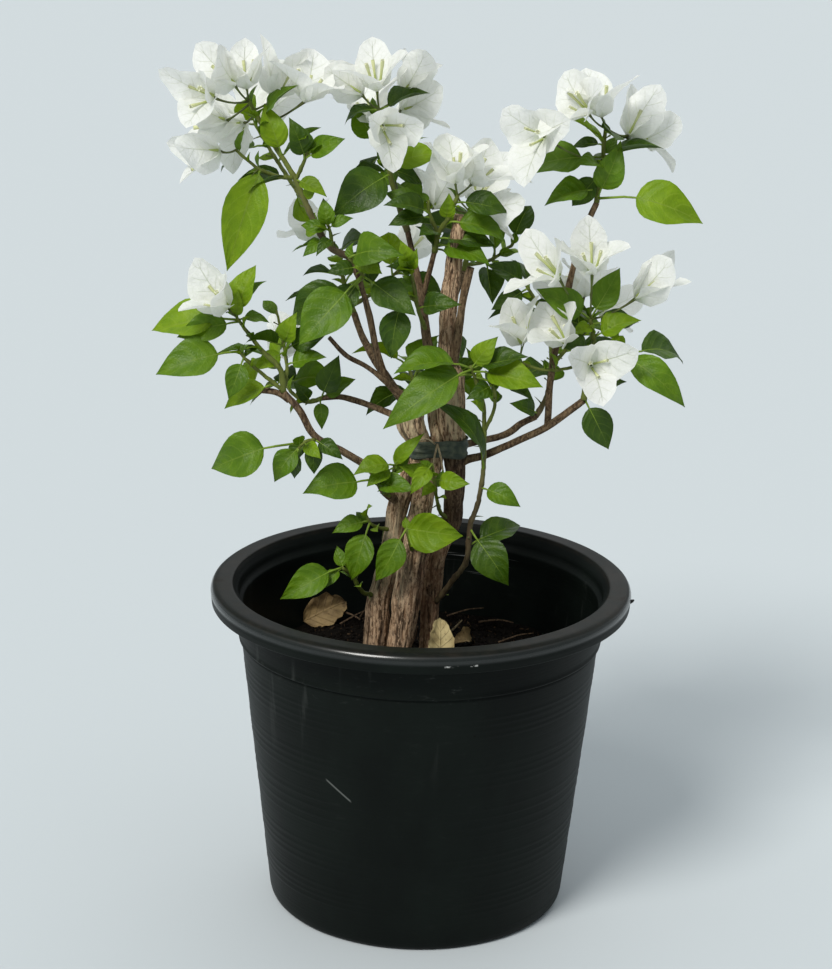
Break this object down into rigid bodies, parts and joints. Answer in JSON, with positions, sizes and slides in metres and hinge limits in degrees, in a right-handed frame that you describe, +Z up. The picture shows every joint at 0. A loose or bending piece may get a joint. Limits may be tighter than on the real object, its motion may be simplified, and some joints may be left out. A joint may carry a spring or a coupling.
{
  "type": "potted bougainvillea bush",
  "caption": "White-flowering bougainvillea bush with woody stems, grown in a round nursery pot filled with soil.",
  "frame": {"origin": "centre of the pot's flat underside", "axes": "+Z up along the pot's axis, -Y towards the side the picture shows, +X to its right"},
  "size_m": [0.3763, 0.3029, 0.6256],
  "materials": {
    "pot": "black moulded plastic, satin, scuffed",
    "soil": "dark crumbly potting mix",
    "bark": "grey-brown fissured bark",
    "young_bark": "smooth reddish brown bark",
    "dry_leaf": "dry crumpled leaf",
    "tape": "worn grey-green tie tape",
    "leaves": "satin green leaves",
    "blossom": "papery white bracts among green leaves"
  },
  "bodies": {
    "root": {"pot": "pot", "soil": "soil", "left_stem": "bark", "middle_stem": "bark", "right_stem": "bark", "cut_stub": "bark", "centre_upright": "young_bark", "centre_right_fork": "young_bark", "rising_bough": "young_bark", "dead_twig": "young_bark", "lower_left_bough": "young_bark", "broken_stub": "young_bark", "left_bough": "young_bark", "right_bough": "young_bark", "right_back_bough": "young_bark", "right_upright": "young_bark", "back_left_bough": "young_bark", "back_middle_bough": "young_bark", "back_low_bough": "young_bark", "stem_tie": "tape", "dry_leaf_left": "dry_leaf", "dry_leaf_right": "dry_leaf", "dry_curl": "dry_leaf", "foliage_top_left": "blossom", "foliage_top_middle": "blossom", "foliage_middle": "blossom", "foliage_top_right": "blossom", "foliage_right": "blossom", "foliage_right_back": "blossom", "foliage_left": "blossom", "foliage_lower_left": "leaves", "foliage_left_inner": "leaves", "foliage_left_back": "blossom", "foliage_centre": "leaves", "foliage_side": "leaves", "foliage_middle_low": "leaves", "foliage_front_low": "leaves", "foliage_front_leaf": "leaves", "foliage_low_left": "leaves", "foliage_low_twig": "leaves", "foliage_back_left": "blossom", "foliage_back_middle": "blossom", "foliage_back_low": "leaves"}
  },
  "joints": []
}
